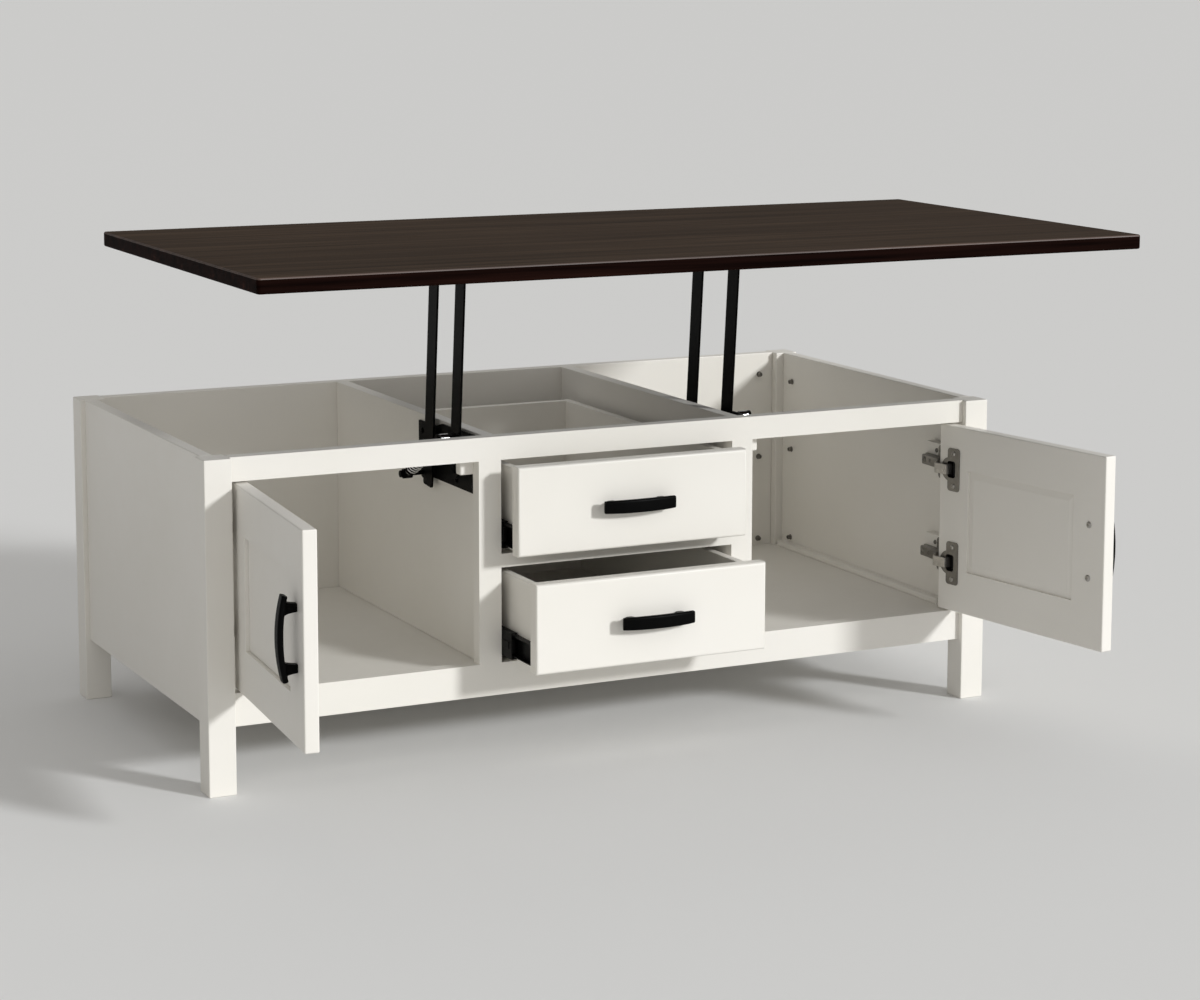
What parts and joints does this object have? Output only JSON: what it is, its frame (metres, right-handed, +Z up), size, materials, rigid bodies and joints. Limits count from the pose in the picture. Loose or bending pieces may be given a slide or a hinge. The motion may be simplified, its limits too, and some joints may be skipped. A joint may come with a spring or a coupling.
{
  "type": "lift top coffee table",
  "caption": "Coffee table cabinet with hinged side doors, central drawers and a dark top that lifts up and forward on parallel arms.",
  "frame": {"origin": "on the floor, under the middle of the table's whole outline as stored (top raised, doors and drawers open)", "axes": "+X to the table's right seen from the front, -Y out of the front (doors and drawers), +Z up"},
  "size_m": [1.276, 0.9284, 0.7215],
  "materials": {
    "white_paint": "satin warm white paint on wood",
    "dark_wood": "satin espresso stained wood",
    "handle_black": "satin black powder coat",
    "mechanism_black": "matt black powder coat",
    "slide_black": "black zinc",
    "hinge_steel": "nickel plated pressed steel",
    "chrome_steel": "bright zinc plated"
  },
  "bodies": {
    "carcass": {"leg_front_left": "white_paint", "leg_front_right": "white_paint", "leg_back_left": "white_paint", "leg_back_right": "white_paint", "side_panel_left": "white_paint", "side_panel_right": "white_paint", "divider_left": "white_paint", "divider_right": "white_paint", "back_panel": "white_paint", "floor_panel": "white_paint", "top_rail": "white_paint", "bottom_rail": "white_paint", "drawer_rail": "white_paint", "stile_left": "white_paint", "stile_right": "white_paint", "hinge_mount_left_upper": "hinge_steel", "hinge_mount_left_lower": "hinge_steel", "hinge_mount_right_upper": "hinge_steel", "hinge_mount_right_lower": "hinge_steel", "lift_base_left": "mechanism_black", "lift_base_right": "mechanism_black", "slide_outer_upper_left": "slide_black", "slide_outer_upper_right": "slide_black", "slide_outer_lower_left": "slide_black", "slide_outer_lower_right": "slide_black"},
    "rear_arms": {"rear_arm_left": "mechanism_black", "rear_arm_right": "mechanism_black"},
    "front_arms": {"front_arm_left": "mechanism_black", "front_arm_right": "mechanism_black"},
    "top": {"tabletop": "dark_wood", "top_bracket_left": "mechanism_black", "top_bracket_right": "mechanism_black"},
    "strut_rods": {"strut_rod_left": "chrome_steel", "strut_rod_right": "chrome_steel"},
    "strut_tubes": {"strut_tube_left": "mechanism_black", "strut_tube_right": "mechanism_black"},
    "left_door": {"door_frame_left": "white_paint", "door_panel_left": "white_paint", "door_handle_left": "handle_black", "hinge_cup_left_upper": "hinge_steel", "hinge_cup_left_lower": "hinge_steel"},
    "right_door": {"door_frame_right": "white_paint", "door_panel_right": "white_paint", "door_handle_right": "handle_black", "hinge_cup_right_upper": "hinge_steel", "hinge_cup_right_lower": "hinge_steel"},
    "upper_drawer": {"drawer_front_upper": "white_paint", "drawer_box_upper": "white_paint", "drawer_handle_upper": "handle_black", "slide_inner_upper_left": "slide_black", "slide_inner_upper_right": "slide_black"},
    "upper_slide_middles": {"slide_middle_upper_left": "slide_black", "slide_middle_upper_right": "slide_black"},
    "lower_drawer": {"drawer_front_lower": "white_paint", "drawer_box_lower": "white_paint", "drawer_handle_lower": "handle_black", "slide_inner_lower_left": "slide_black", "slide_inner_lower_right": "slide_black"},
    "lower_slide_middles": {"slide_middle_lower_left": "slide_black", "slide_middle_lower_right": "slide_black"}
  },
  "joints": [
    {"name": "lift", "type": "hinge", "parent": "carcass", "child": "rear_arms", "pos_m": [0, 0.0505, 0.395], "axis": [1, 0, 0], "range_deg": [-88.85, 0]},
    {"name": "front_arm_swing", "type": "hinge", "parent": "carcass", "child": "front_arms", "pos_m": [0, -0.0505, 0.395], "axis": [1, 0, 0], "range_deg": [-89.05, 0.2]},
    {"name": "top_level", "type": "hinge", "parent": "rear_arms", "child": "top", "pos_m": [0, 0.02485, 0.67683], "axis": [1, 0, 0], "range_deg": [-0.2, 89.05]},
    {"name": "strut_pivot", "type": "hinge", "parent": "carcass", "child": "strut_rods", "pos_m": [0, -0.0635, 0.44], "axis": [1, 0, 0], "range_deg": [-8.8, 0.5]},
    {"name": "strut_slide", "type": "slide", "parent": "strut_rods", "child": "strut_tubes", "axis": [0, -0.8858, 0.4641], "range_m": [-0.001, 0.041]},
    {"name": "left_door_hinge", "type": "hinge", "parent": "carcass", "child": "left_door", "pos_m": [-0.5515, -0.1275, 0.2765], "axis": [0, 0, 1], "range_deg": [-10, 95]},
    {"name": "right_door_hinge", "type": "hinge", "parent": "carcass", "child": "right_door", "pos_m": [0.5515, -0.1275, 0.2765], "axis": [0, 0, 1], "range_deg": [-98.5, 6.5]},
    {"name": "upper_drawer_slide", "type": "slide", "parent": "carcass", "child": "upper_drawer", "axis": [0, -1, 0], "range_m": [-0.05, 0.3]},
    {"name": "upper_middle_slide", "type": "slide", "parent": "carcass", "child": "upper_slide_middles", "axis": [0, -1, 0], "range_m": [-0.0255, 0.1505]},
    {"name": "lower_drawer_slide", "type": "slide", "parent": "carcass", "child": "lower_drawer", "axis": [0, -1, 0], "range_m": [-0.108, 0.242]},
    {"name": "lower_middle_slide", "type": "slide", "parent": "carcass", "child": "lower_slide_middles", "axis": [0, -1, 0], "range_m": [-0.0545, 0.1215]}
  ],
  "couplings": [
    {"joint": "front_arm_swing", "follows": "lift", "ratio": 1},
    {"joint": "top_level", "follows": "lift", "ratio": -1},
    {"joint": "strut_pivot", "follows": "lift", "ratio": 0.092902},
    {"joint": "strut_slide", "follows": "lift", "m_per_rad": -0.025778},
    {"joint": "upper_middle_slide", "follows": "upper_drawer_slide", "ratio": 0.5},
    {"joint": "lower_middle_slide", "follows": "lower_drawer_slide", "ratio": 0.5}
  ]
}
